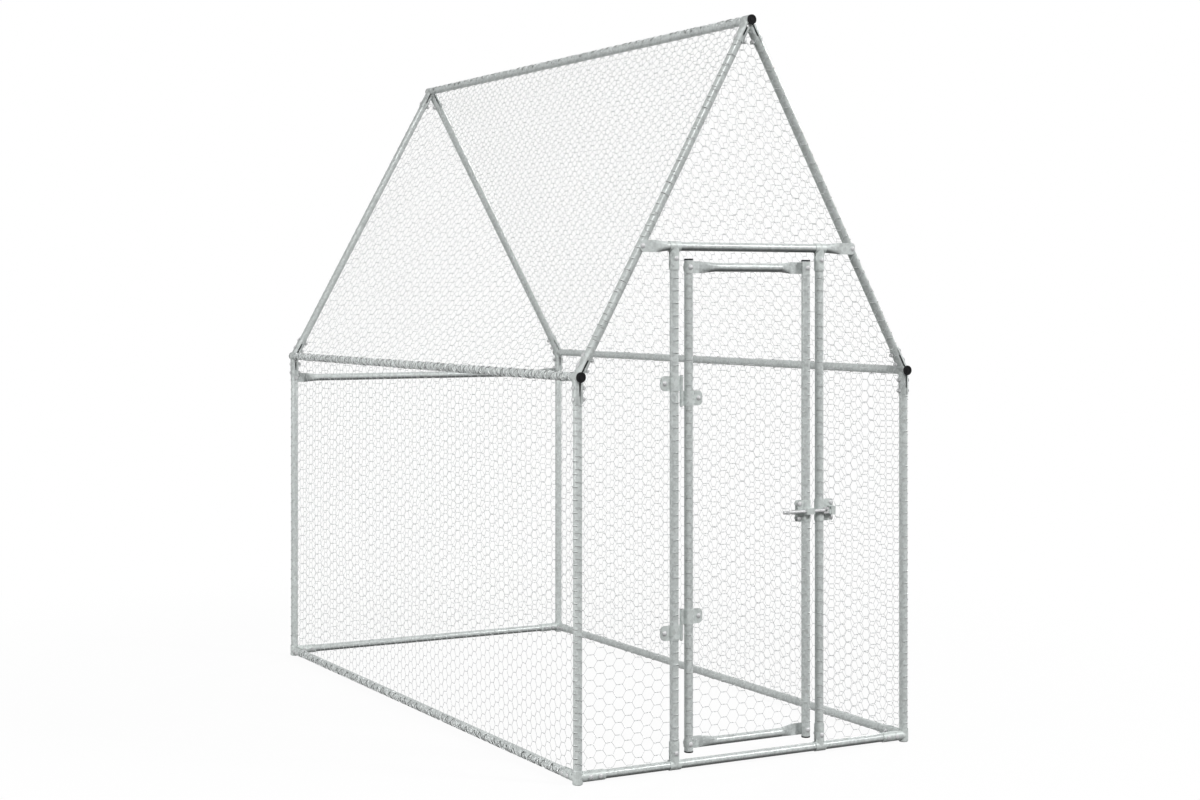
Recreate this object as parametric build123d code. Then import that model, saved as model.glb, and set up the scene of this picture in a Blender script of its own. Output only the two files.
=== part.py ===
from build123d import *
from functools import lru_cache
import os

# A walk-in poultry run: a house-shaped frame of round steel tube with sheet-metal fittings,
# hexagonal netting on every side and a hinged door with a slide bolt.
# Millimetres. X runs across the front, Y to the rear, Z up from the floor; the origin is at the
# middle of the floor plan.

# Overall frame
CAGE_WIDTH = 1000.0  # over the outer sides of the posts
CAGE_LENGTH = 2000.0  # over the outer sides of the posts
RAIL_HEIGHT = 17.5  # axes of the sills and side bottom rails
EAVE_HEIGHT = 983.0  # axes of the eave rails
RIDGE_HEIGHT = 1877.0  # axis of the ridge pole
HEADER_HEIGHT = 1302.0  # axis of the rail over the door
REAR_RAIL_HEIGHT = 912.0  # axis of the cross rail under the rear gable
RAIL_OVERHANG = 16.0  # eave rails and ridge pole past the post axes

# Round tube
TUBE_OD = 22.2
TUBE_WALL = 1.2

# Tube ends pressed flat: door header, rear cross rail and the door's rails
FLAT_HEIGHT = 30.0
FLAT_THICKNESS = 2.4
FLAT_PAST_BOLT = 7.0  # from the bolt to the tip
FLAT_INWARD = 38.0  # from the bolt to the start of the taper
FLAT_TAPER = 40.0
FLAT_ROUND = 10.0
FLAT_SEAT = 0.3

# Strap fittings
STRAP = 1.5  # sheet thickness
BAND_WIDTH = 31.0  # along the tube that runs through
BAND_SEAT = 0.2  # round the tube that runs through
SLEEVE_SEAT = 0.4  # round the tubes that end there
SLEEVE_SLIT = 5.0  # between the two sides of a sleeve
LEG_LENGTH = 64.0  # eave and ridge sleeves, from the through axis
LEG_BOLTS = (26.0, 54.0)
LEG_TUBE_GAP = 46.0  # posts and rafters stop this far from the rail axes
BASE_LEG_LENGTH = 72.0
BASE_LEG_BOLTS = (30.0, 57.0)
BASE_TUBE_GAP = 19.0
JAMB_LEG_LENGTH = 58.0
JAMB_LEG_BOLT = 30.0
JAMB_TUBE_GAP = 20.0

# Bolts
BOLT_D = 6.0
BOLT_HOLE_PLAY = 0.2
HEAD_D = 12.5
HEAD_HEIGHT = 3.3
HEAD_RIM = 0.8
NUT_ACROSS_FLATS = 10.0
NUT_HEIGHT = 5.0
NUT_PLAY = 0.05
BOLT_TAIL = 3.0  # thread past the nut
BOLT_SEAT = 0.02

# End caps
CAP_THICKNESS = 4.0
RAIL_CAP_RIM = 1.7  # past the tube's side, on the eave rails and the ridge pole
STILE_CAP_RIM = 0.3
CAP_PLUG = 12.0
CAP_PLUG_PLAY = 0.15
CAP_ROUND = 1.5
CAP_RING_R = 6.0  # inside of the groove in the cap's face
CAP_RING_WIDTH = 2.2
CAP_RING_DEPTH = 1.2

# Doorway and door
DOORWAY_WIDTH = 436.0  # between the jamb axes
HINGE_SPACING = 42.0  # jamb axis to stile axis, on both sides of the door
DOOR_TOP_GAP = 30.0  # header axis to the stiles' upper ends
DOOR_BOTTOM_GAP = 26.5  # sill axis to the stiles' lower ends
DOOR_RAIL_INSET = 21.0  # stile end to rail axis

# Hinges
UPPER_HINGE_HEIGHT = 943.5  # middle of each hinge
LOWER_HINGE_HEIGHT = 363.5
LEAF_HEIGHT = 37.0
LEAF_GAP = 0.4
LEAF_EAR = 39.0  # tube axis to the ear's end
LEAF_EAR_BOLT = 28.0
LEAF_EAR_ROUND = 12.0
LEAF_EAR_SLIT = 1.0
PIN_D = 6.0
PIN_PLAY = 0.05
PIN_PAST_LEAF = 3.0
PIN_HEAD_D = 9.0
PIN_HEAD = 2.0

# Latch
LATCH_HEIGHT = 627.0
CLAMP_HEIGHT = 55.0
CLAMP_OPENING = 10.0  # between the two tails of a clamp
CLAMP_ROUND = 5.0
CLAMP_BOLT_INSET = 6.0
CLAMP_BOLT_SPACING = 37.0
STILE_CLAMP_REACH = 29.0  # stile axis to the ends of the tails
KEEP_REACH = 38.0  # jamb axis to the ends of the tails
BOLT_BAR_D = 9.0
BOLT_BAR_PLAY = 0.3
BOLT_TRAVEL = 53.0
BOLT_TIP_HEIGHT = 16.0
BOLT_TIP_LENGTH = 17.0
BOLT_TIP_THICKNESS = 4.0
BOLT_TIP_HOLE_D = 7.0
BOLT_TIP_ROUND = 3.0
BOLT_TIP_TO_KEEP = 4.0  # drawn back, the tip stops this short of the keep's loop
BOLT_BAR_LENGTH = 140.0
BOLT_KNOB_D = 8.0
BOLT_KNOB_LENGTH = 13.0
BOLT_KNOB_INSET = 8.0
GUIDE_WIDTH = 24.0
GUIDE_WALL = 3.0
LOOP_WIDTH = 12.0
LOOP_INSET = 4.0  # keep's tail end to the loop
LOOP_WALL = 2.5
LOOP_PLAY = 0.75

# Netting, drawn at three times its real gap
NET_CELL = 92.0  # between the two level sides of a gap
NET_STRAND = 2.4
NET_THICKNESS = 1.2
NET_SEAT = 0.3
NET_FROM_BARE_RAIL = 17.0  # panel edge to the axis of a rail it does not cover
NET_FITTING_ROOM = 1.3
NET_EDGE = 3.0
NET_LEAST_GAP = 0.12  # of a whole gap: smaller scraps at the edges stay closed

# Worked out from the sizes above
TUBE_R = TUBE_OD / 2
BORE_R = TUBE_R - TUBE_WALL
POST_X = CAGE_WIDTH / 2 - TUBE_R
POST_Y = CAGE_LENGTH / 2 - TUBE_R
FRONT = -POST_Y
REAR = POST_Y
BAND_IN = TUBE_R + BAND_SEAT
BAND_OUT = BAND_IN + STRAP
SLEEVE_IN = TUBE_R + SLEEVE_SEAT
SLEEVE_OUT = SLEEVE_IN + STRAP
BOLT_R = BOLT_D / 2
BOLT_HOLE_R = BOLT_R + BOLT_HOLE_PLAY
JAMB_X = DOORWAY_WIDTH / 2
STILE_X = JAMB_X - HINGE_SPACING
HINGE_X = -JAMB_X + HINGE_SPACING / 2
STILE_BOTTOM = RAIL_HEIGHT + DOOR_BOTTOM_GAP
STILE_TOP = HEADER_HEIGHT - DOOR_TOP_GAP
DOOR_BOTTOM_RAIL = STILE_BOTTOM + DOOR_RAIL_INSET
DOOR_TOP_RAIL = STILE_TOP - DOOR_RAIL_INSET
BAR_R = BOLT_BAR_D / 2
BAR_Y = FRONT - BAND_OUT - BOLT_BAR_PLAY - BAR_R
LOOP_END_X = JAMB_X + KEEP_REACH - LOOP_INSET
LOOP_START_X = LOOP_END_X - LOOP_WIDTH
BAR_TIP_X = LOOP_START_X - BOLT_TIP_TO_KEEP
X, Y, Z = Vector(1, 0, 0), Vector(0, 1, 0), Vector(0, 0, 1)
FROM_FLOOR = (Align.CENTER, Align.CENTER, Align.MIN)


def slope(side):
    """Unit vector up the rafters of one side, -1 left or +1 right."""
    return Vector(-side * POST_X, 0, RIDGE_HEIGHT - EAVE_HEIGHT).normalized()


def eave_point(side, y):
    """Point on an eave rail's axis."""
    return Vector(side * POST_X, y, EAVE_HEIGHT)


def rafter_x(height):
    """Distance of the rafter axes from the middle plane at a height."""
    return POST_X * (RIDGE_HEIGHT - height) / (RIDGE_HEIGHT - EAVE_HEIGHT)


def rod(start, end, radius):
    """Solid round bar between two points."""
    run = end - start
    return Plane(origin=start, z_dir=run) * Cylinder(radius, run.length, align=FROM_FLOOR)


def cross_hole(point, direction, radius=BOLT_HOLE_R):
    """Bar that drills a bolt hole right through whatever sits at a point."""
    reach = direction * (2 * TUBE_OD)
    return rod(point - reach, point + reach, radius)


def tube(start, end, holes=()):
    """Round tube between two points, with bolt holes given as (point, direction)."""
    body = rod(start, end, TUBE_R) - rod(start, end, BORE_R)
    for point, direction in holes:
        body -= cross_hole(point, direction)
    return body


def end_cap(end, outward, rim):
    """Plastic cap plugged into a tube's end."""
    disc = Cylinder(TUBE_R + rim, CAP_THICKNESS, align=FROM_FLOOR)
    disc = fillet(disc.edges().sort_by(Axis.Z)[-1], CAP_ROUND)
    groove = Circle(CAP_RING_R + CAP_RING_WIDTH) - Circle(CAP_RING_R)
    disc -= Pos(0, 0, CAP_THICKNESS - CAP_RING_DEPTH) * extrude(groove, CAP_THICKNESS)
    plug = Pos(0, 0, -CAP_PLUG) * Cylinder(BORE_R - CAP_PLUG_PLAY, CAP_PLUG, align=FROM_FLOOR)
    return Plane(origin=end, z_dir=outward) * (disc + plug)


@lru_cache(maxsize=None)
def fastener(head_grip, nut_grip):
    """Domed bolt along +Z with its nut; the grips reach from the origin to the two seats."""
    head_r = HEAD_D / 2
    seat = -head_grip - BOLT_SEAT
    top = (0, seat - HEAD_HEIGHT)
    rim = (head_r, seat - HEAD_RIM)
    crown = TangentArc(top, rim, tangent=(1, 0))
    sides_of_head = Polyline(top, (0, seat), (head_r, seat), rim)
    head = revolve(Plane.XZ * make_face(crown.edges() + sides_of_head.edges()), Axis.Z)
    nut_seat = nut_grip + BOLT_SEAT
    shank = rod(Z * seat, Z * (nut_seat + NUT_HEIGHT + BOLT_TAIL), BOLT_R)
    hexagon = RegularPolygon(NUT_ACROSS_FLATS / 2, 6, major_radius=False) - Circle(BOLT_R + NUT_PLAY)
    nut = Pos(0, 0, nut_seat) * extrude(hexagon, NUT_HEIGHT)
    return (head + shank, nut)


def bolted(point, direction, head_grip, nut_grip):
    """A bolt and its nut, whose axis passes through a point; the head is on the near side."""
    place = Plane(origin=point, z_dir=direction)
    return [place * piece for piece in fastener(head_grip, nut_grip)]


def strap_bracket(through, legs, length, stations, inward):
    """Sheet strap round a through tube at the origin, with a split sleeve along each leg.

    Returns its pieces from the outermost to the innermost, and its bolts with their nuts.
    """
    origin = Vector(0, 0, 0)
    half_band = through * (BAND_WIDTH / 2)
    strap = rod(-half_band, half_band, BAND_OUT)
    hollow = [rod(through * -length, through * length, BAND_IN)]
    bolts = []
    for leg in legs:
        across = through.cross(leg)
        across = across if across.dot(inward) > 0 else -across
        strap += rod(origin, leg * length, SLEEVE_OUT)
        hollow.append(rod(origin, leg * (length + STRAP), SLEEVE_IN))
        slit = Box(SLEEVE_SLIT, 4 * SLEEVE_OUT, length + STRAP, align=FROM_FLOOR)
        hollow.append(Plane(origin=origin, x_dir=across, z_dir=leg) * slit)
        for station in stations:
            hollow.append(cross_hole(leg * station, across))
            bolts += bolted(leg * station, across, SLEEVE_OUT, SLEEVE_OUT)
    for tool in hollow:
        strap -= tool
    return sorted(strap.solids(), key=lambda piece: piece.center().dot(inward)), bolts


def flat_ended_rail(half_span, height, y, face):
    """Cross rail along X, its ends pressed flat and bolted at +/-half_span.

    face is the flats' distance from the rail's axis along Y, with its sign.
    """
    taper_start = half_span - FLAT_INWARD - FLAT_TAPER
    taper_end = half_span - FLAT_INWARD
    body = tube(-X * taper_start, X * taper_start)
    for side in (-1, 1):
        tail = Plane(origin=(side * taper_end, face, 0), x_dir=Y, z_dir=X) * Ellipse(
            FLAT_THICKNESS / 2, FLAT_HEIGHT / 2
        )
        neck = Plane(origin=(side * taper_start, 0, 0), x_dir=Y, z_dir=X) * Circle(TUBE_R)
        body += loft([neck, tail])
        length = FLAT_INWARD + FLAT_PAST_BOLT
        flat = Box(length, FLAT_THICKNESS, FLAT_HEIGHT)
        tip = flat.edges().filter_by(Axis.Y).group_by(Axis.X)[0 if side < 0 else -1]
        flat = fillet(tip, FLAT_ROUND)
        body += Pos(side * (taper_end + length / 2), face, 0) * flat
        body -= cross_hole(Vector(side * half_span, 0, 0), Y)
    return Pos(0, y, height) * body


def notch(x, z, width, height, angle=0.0):
    """Room for a fitting in a netting panel: middle, size and turn in the panel's plane."""
    return (x, z, width, height, angle)


def netting(plane, outline, notches):
    """Netting panel: one holed sheet on a plane, cut clear of the fittings."""

    def rooms(grow):
        return [
            Pos(x, z) * Rot(0, 0, angle) * Rectangle(width + 2 * grow, height + 2 * grow)
            for x, z, width, height, angle in notches
        ]

    whole = make_face(Polyline(*outline, close=True))
    field = offset(whole, -NET_EDGE, kind=Kind.INTERSECTION)
    sheet = whole - rooms(NET_FITTING_ROOM) if notches else whole
    field = field - rooms(NET_FITTING_ROOM + NET_EDGE) if notches else field
    box = whole.bounding_box()
    side = NET_CELL / 3**0.5
    gap = RegularPolygon((NET_CELL - NET_STRAND) / 2, 6, major_radius=False)
    columns = int(box.size.X / (1.5 * side)) // 2 + 2
    rows = int(box.size.Y / NET_CELL) // 2 + 2
    middle = box.center()
    cells = [
        Pos(middle.X + 1.5 * side * column, middle.Y + NET_CELL * (row + (column % 2) / 2)) * gap
        for column in range(-columns, columns + 1)
        for row in range(-rows, rows + 1)
    ]
    least = NET_LEAST_GAP * gap.area
    holes = [face for face in (field & Sketch(cells)).faces() if face.area > least]
    return plane * extrude(sheet - holes, NET_THICKNESS)


parts = {}
frame_bolts = []
door_bolts = []
sides = ((-1, "left"), (1, "right"))
ends = ((-1, "front"), (1, "rear"))
eave_inners = []
ridge_inners = []
base_inners = []

# The three kinds of two-piece bracket, each drawn once at the origin
(eave_outer, eave_inner), eave_bolts = strap_bracket(Y, [-Z, slope(-1)], LEG_LENGTH, LEG_BOLTS, X)
(ridge_outer, ridge_inner), ridge_bolts = strap_bracket(
    Y, [-slope(-1), -slope(1)], LEG_LENGTH, LEG_BOLTS[1:], -Z
)
(base_outer, base_inner), base_bolts = strap_bracket(Z, [X, Y], BASE_LEG_LENGTH, BASE_LEG_BOLTS, X + Y)

# Corner posts, rafters and their brackets
for end, end_name in ends:
    y = end * POST_Y
    ridge = Vector(0, y, RIDGE_HEIGHT)
    for side, side_name in sides:
        corner = f"{end_name}_{side_name}"
        up = slope(side)
        eave = eave_point(side, y)

        place = Pos(eave) * Rot(0, 0, 0 if side < 0 else 180)
        parts[f"{corner}_eave_bracket"] = place * eave_outer
        eave_inners.append(place * eave_inner)
        frame_bolts += [place * piece for piece in eave_bolts]

        turn = {(-1, -1): 0, (-1, 1): 90, (1, 1): 180, (1, -1): 270}[end, side]
        place = Pos(side * POST_X, y, RAIL_HEIGHT) * Rot(0, 0, turn)
        parts[f"{corner}_base_bracket"] = place * base_outer
        base_inners.append(place * base_inner)
        frame_bolts += [place * piece for piece in base_bolts]

        post_holes = [(eave - Z * LEG_BOLTS[1], X)]
        if end > 0:
            post_holes.append((Vector(side * POST_X, y, REAR_RAIL_HEIGHT), Y))
        parts[f"{corner}_post"] = tube(Vector(side * POST_X, y, 0), eave - Z * LEG_TUBE_GAP, post_holes)

        across = Y.cross(up)
        rafter_holes = [(eave + up * LEG_BOLTS[1], across), (ridge - up * LEG_BOLTS[1], across)]
        if end < 0:
            rafter_holes.append((Vector(side * rafter_x(HEADER_HEIGHT), y, HEADER_HEIGHT), Y))
        parts[f"{corner}_rafter"] = tube(eave + up * LEG_TUBE_GAP, ridge - up * LEG_TUBE_GAP, rafter_holes)

    parts[f"{end_name}_ridge_bracket"] = Pos(ridge) * ridge_outer
    ridge_inners.append(Pos(ridge) * ridge_inner)
    frame_bolts += [Pos(ridge) * piece for piece in ridge_bolts]

parts["eave_bracket_inners"] = Compound(children=eave_inners)
parts["ridge_bracket_inners"] = Compound(children=ridge_inners)
parts["base_bracket_inners"] = Compound(children=base_inners)

# Sills and side bottom rails
sill_end = POST_X - BASE_TUBE_GAP
for end, name in ((-1, "front_sill"), (1, "rear_sill")):
    middle = Vector(0, end * POST_Y, RAIL_HEIGHT)
    holes = [(middle + X * side * (POST_X - station), Y) for side in (-1, 1) for station in BASE_LEG_BOLTS]
    parts[name] = tube(middle - X * sill_end, middle + X * sill_end, holes)
rail_end = POST_Y - BASE_TUBE_GAP
for side, side_name in sides:
    middle = Vector(side * POST_X, 0, RAIL_HEIGHT)
    holes = [(middle + Y * end * (POST_Y - station), X) for end in (-1, 1) for station in BASE_LEG_BOLTS]
    parts[f"{side_name}_bottom_rail"] = tube(middle - Y * rail_end, middle + Y * rail_end, holes)

# Eave rails and ridge pole, each with a cap in both ends
long_axes = {
    "left_eave_rail": eave_point(-1, 0),
    "right_eave_rail": eave_point(1, 0),
    "ridge_pole": Vector(0, 0, RIDGE_HEIGHT),
}
rail_caps = []
for name, middle in long_axes.items():
    reach = Y * (POST_Y + RAIL_OVERHANG)
    parts[name] = tube(middle - reach, middle + reach)
    rail_caps += [end_cap(middle - reach, -Y, RAIL_CAP_RIM), end_cap(middle + reach, Y, RAIL_CAP_RIM)]
parts["rail_end_caps"] = Compound(children=rail_caps)

# Door header on the front of the rafters, rear cross rail on the back of the post sleeves
header_face = -(TUBE_R + FLAT_SEAT + FLAT_THICKNESS / 2)
header_bolt = rafter_x(HEADER_HEIGHT)
parts["door_header"] = flat_ended_rail(header_bolt, HEADER_HEIGHT, FRONT, header_face)
rear_face = SLEEVE_OUT + FLAT_SEAT + FLAT_THICKNESS / 2
parts["rear_cross_rail"] = flat_ended_rail(POST_X, REAR_RAIL_HEIGHT, REAR, rear_face)
for side in (-1, 1):
    frame_bolts += bolted(
        Vector(side * header_bolt, FRONT, HEADER_HEIGHT), Y, FLAT_THICKNESS / 2 - header_face, TUBE_R
    )
    frame_bolts += bolted(
        Vector(side * POST_X, REAR, REAR_RAIL_HEIGHT), -Y, rear_face + FLAT_THICKNESS / 2, TUBE_R
    )

# Door jambs, clamped to the sill and the header
(jamb_clamp,), jamb_bolts = strap_bracket(X, [Z], JAMB_LEG_LENGTH, (JAMB_LEG_BOLT,), Y)
upper_clamps = []
lower_clamps = []
for side, side_name in sides:
    low = Vector(side * JAMB_X, FRONT, RAIL_HEIGHT)
    high = Vector(side * JAMB_X, FRONT, HEADER_HEIGHT)
    lower_clamps.append(Pos(low) * jamb_clamp)
    upper_clamps.append(Pos(high) * Rot(0, 180, 0) * jamb_clamp)
    frame_bolts += [Pos(low) * piece for piece in jamb_bolts]
    frame_bolts += [Pos(high) * Rot(0, 180, 0) * piece for piece in jamb_bolts]
    holes = [(low + Z * JAMB_LEG_BOLT, Y), (high - Z * JAMB_LEG_BOLT, Y)]
    parts[f"{side_name}_door_jamb"] = tube(low + Z * JAMB_TUBE_GAP, high - Z * JAMB_TUBE_GAP, holes)
parts["upper_jamb_clamps"] = Compound(children=upper_clamps)
parts["lower_jamb_clamps"] = Compound(children=lower_clamps)


def hinge_leaf(tube_x, bottom):
    """Strap folded round the hinge pin and a tube, its two plies bolted in an ear past the tube."""
    away = 1 if tube_x > HINGE_X else -1
    ear_end = tube_x + away * LEAF_EAR
    plies = 2 * STRAP + LEAF_EAR_SLIT
    plan = Pos(tube_x, 0) * Circle(BAND_OUT) + Pos(HINGE_X, 0) * Circle(PIN_D / 2 + PIN_PLAY + STRAP)
    plan += Pos((tube_x + HINGE_X) / 2, 0) * Rectangle(abs(tube_x - HINGE_X), 2 * STRAP)
    plan += Pos(tube_x + away * LEAF_EAR / 2, 0) * Rectangle(LEAF_EAR, plies)
    plan -= Pos(tube_x, 0) * Circle(BAND_IN)
    plan -= Pos(HINGE_X, 0) * Circle(PIN_D / 2 + PIN_PLAY)
    plan -= Pos(tube_x + away * LEAF_EAR / 2, 0) * Rectangle(LEAF_EAR, LEAF_EAR_SLIT)
    leaf = Pos(0, FRONT, bottom) * extrude(plan, LEAF_HEIGHT)
    tip = leaf.edges().filter_by(Axis.Y).group_by(Axis.X)[-1 if away > 0 else 0]
    leaf = fillet(tip, LEAF_EAR_ROUND)
    hole = Vector(tube_x + away * LEAF_EAR_BOLT, FRONT, bottom + LEAF_HEIGHT / 2)
    return leaf - cross_hole(hole, Y), bolted(hole, Y, plies / 2, plies / 2)


# Hinges: on the upper one the fixed leaf is above, on the lower one it is below
pins = []
leaf_bottoms = {}
for name, middle, fixed_above in (
    ("upper", UPPER_HINGE_HEIGHT, True),
    ("lower", LOWER_HINGE_HEIGHT, False),
):
    above = middle + LEAF_GAP / 2
    below = middle - LEAF_GAP / 2 - LEAF_HEIGHT
    fixed, moving = (above, below) if fixed_above else (below, above)
    leaf_bottoms[name] = (fixed, moving)
    parts[f"{name}_hinge_jamb_leaf"], bolts = hinge_leaf(-JAMB_X, fixed)
    frame_bolts += bolts
    parts[f"{name}_hinge_stile_leaf"], bolts = hinge_leaf(-STILE_X, moving)
    door_bolts += bolts
    foot = Vector(HINGE_X, FRONT, below - PIN_PAST_LEAF)
    top = Vector(HINGE_X, FRONT, above + LEAF_HEIGHT + LEAF_GAP)
    pins.append(rod(foot, top, PIN_D / 2) + rod(top, top + Z * PIN_HEAD, PIN_HEAD_D / 2))
parts["hinge_pins"] = Compound(children=pins)

# Door stiles and rails; the rails' flats lie behind the stiles
door_face = TUBE_R + FLAT_SEAT + FLAT_THICKNESS / 2
stile_caps = []
for side, side_name in sides:
    low = Vector(side * STILE_X, FRONT, STILE_BOTTOM + CAP_THICKNESS)
    high = Vector(side * STILE_X, FRONT, STILE_TOP - CAP_THICKNESS)
    holes = []
    for height in (DOOR_BOTTOM_RAIL, DOOR_TOP_RAIL):
        hole = Vector(side * STILE_X, FRONT, height)
        holes.append((hole, Y))
        door_bolts += bolted(hole, Y, TUBE_R, door_face + FLAT_THICKNESS / 2)
    parts[f"{side_name}_door_stile"] = tube(low, high, holes)
    stile_caps += [end_cap(low, -Z, STILE_CAP_RIM), end_cap(high, Z, STILE_CAP_RIM)]
parts["stile_end_caps"] = Compound(children=stile_caps)
parts["door_bottom_rail"] = flat_ended_rail(STILE_X, DOOR_BOTTOM_RAIL, FRONT, door_face)
parts["door_top_rail"] = flat_ended_rail(STILE_X, DOOR_TOP_RAIL, FRONT, door_face)


def tube_clamp(tube_x, reach, away):
    """U-shaped strap round an upright tube, open on one side, with its two bolts."""
    tail = Rectangle(reach, CLAMP_OPENING + 2 * STRAP)
    mouth = Rectangle(reach, CLAMP_OPENING)
    middle = Pos(tube_x + away * reach / 2, 0)
    plan = Pos(tube_x, 0) * Circle(BAND_OUT) + middle * tail - Pos(tube_x, 0) * Circle(BAND_IN)
    plan -= middle * mouth
    clamp = Pos(0, FRONT, LATCH_HEIGHT - CLAMP_HEIGHT / 2) * extrude(plan, CLAMP_HEIGHT)
    tips = clamp.edges().filter_by(Axis.Y).group_by(Axis.X)[-1 if away > 0 else 0]
    clamp = fillet(tips, CLAMP_ROUND)
    bolts = []
    grip = CLAMP_OPENING / 2 + STRAP
    for offset_z in (-CLAMP_BOLT_SPACING / 2, CLAMP_BOLT_SPACING / 2):
        hole = Vector(tube_x + away * (reach - CLAMP_BOLT_INSET), FRONT, LATCH_HEIGHT + offset_z)
        clamp -= cross_hole(hole, Y)
        bolts += bolted(hole, Y, grip, grip)
    return clamp, bolts


# Latch clamp on the right stile, with the guide that the slide bolt runs in
clamp, bolts = tube_clamp(STILE_X, STILE_CLAMP_REACH, -1)
door_bolts += bolts
guide_height = BOLT_BAR_D + 2 * BOLT_BAR_PLAY + 2 * GUIDE_WALL
guide_front = BAR_Y - BAR_R - BOLT_BAR_PLAY - GUIDE_WALL
guide = Box(GUIDE_WIDTH, FRONT - guide_front, guide_height, align=(Align.CENTER, Align.MIN, Align.CENTER))
guide = Pos(STILE_X, guide_front, LATCH_HEIGHT) * guide
stile_bore = rod(Vector(STILE_X, FRONT, 0), Vector(STILE_X, FRONT, HEADER_HEIGHT), BAND_IN)
bar_axis = Vector(0, BAR_Y, LATCH_HEIGHT)
bar_bore = rod(bar_axis, bar_axis + X * CAGE_WIDTH, BAR_R + BOLT_BAR_PLAY)
parts["latch_clamp"] = clamp + guide - stile_bore - bar_bore

# Keep on the right jamb: a clamp with a loop that the bolt's tip passes through
keep, bolts = tube_clamp(JAMB_X, KEEP_REACH, 1)
frame_bolts += bolts
slot_height = BOLT_TIP_HEIGHT + 2 * LOOP_PLAY
slot_depth = BOLT_BAR_D + 2 * LOOP_PLAY
loop_front = BAR_Y - slot_depth / 2 - LOOP_WALL
loop_back = FRONT - CLAMP_OPENING / 2 - STRAP / 2
loop = Box(LOOP_WIDTH, loop_back - loop_front, slot_height + 2 * LOOP_WALL)
loop -= Pos(0, BAR_Y - (loop_front + loop_back) / 2, 0) * Box(2 * LOOP_WIDTH, slot_depth, slot_height)
loop_x = (LOOP_START_X + LOOP_END_X) / 2
parts["latch_keep"] = keep + Pos(loop_x, (loop_front + loop_back) / 2, LATCH_HEIGHT) * loop

# Slide bolt, drawn back: round bar, knob and a flat tip with a padlock hole
tip = Box(BOLT_TIP_LENGTH, BOLT_TIP_THICKNESS, BOLT_TIP_HEIGHT)
tip = fillet(tip.edges().filter_by(Axis.Y), BOLT_TIP_ROUND)
tip -= cross_hole(Vector(0, 0, 0), Y, BOLT_TIP_HOLE_D / 2)
bar_start = bar_axis + X * (BAR_TIP_X - BOLT_BAR_LENGTH)
bar_end = bar_axis + X * (BAR_TIP_X - BOLT_TIP_LENGTH + BOLT_TIP_ROUND)
knob_foot = bar_start + X * BOLT_KNOB_INSET
slide_bolt = rod(bar_start, bar_end, BAR_R) + Pos(bar_axis + X * (BAR_TIP_X - BOLT_TIP_LENGTH / 2)) * tip
parts["slide_bolt"] = slide_bolt + rod(knob_foot, knob_foot - Y * BOLT_KNOB_LENGTH, BOLT_KNOB_D / 2)

parts["frame_bolts"] = Compound(children=frame_bolts)
parts["door_bolts"] = Compound(children=door_bolts)

# Netting panels, laid on the outer sides of the tubes
net_offset = TUBE_R + NET_SEAT
fitting = max(2 * SLEEVE_OUT, BAND_WIDTH)
slope_length = (Vector(0, 0, RIDGE_HEIGHT) - eave_point(1, 0)).length
slope_angle = slope(-1).get_angle(X)


def eave_notches(side):
    """Room for an eave bracket in an upright panel: post leg and rafter leg."""
    up = slope(side)
    middle = eave_point(side, 0) + up * (LEG_LENGTH / 2)
    turn = slope_angle if side < 0 else -slope_angle
    return [
        notch(side * POST_X, EAVE_HEIGHT - LEG_LENGTH / 2, fitting, LEG_LENGTH),
        notch(middle.X, middle.Z, LEG_LENGTH, fitting, turn),
        notch(side * POST_X, EAVE_HEIGHT, fitting, fitting),
    ]


def ridge_notches():
    """Room for the two legs of a ridge bracket in an upright panel."""
    rooms = [notch(0, RIDGE_HEIGHT, fitting, fitting)]
    for side in (-1, 1):
        middle = Vector(0, 0, RIDGE_HEIGHT) - slope(side) * (LEG_LENGTH / 2)
        turn = slope_angle if side < 0 else -slope_angle
        rooms.append(notch(middle.X, middle.Z, LEG_LENGTH, fitting, turn))
    return rooms


def leaf_notch(tube_x, bottom):
    """Room for a hinge leaf: its ring and its ear."""
    away = 1 if tube_x > HINGE_X else -1
    reach = LEAF_EAR + BAND_OUT
    return notch(tube_x + away * (LEAF_EAR - BAND_OUT) / 2, bottom + LEAF_HEIGHT / 2, reach, LEAF_HEIGHT)


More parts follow.
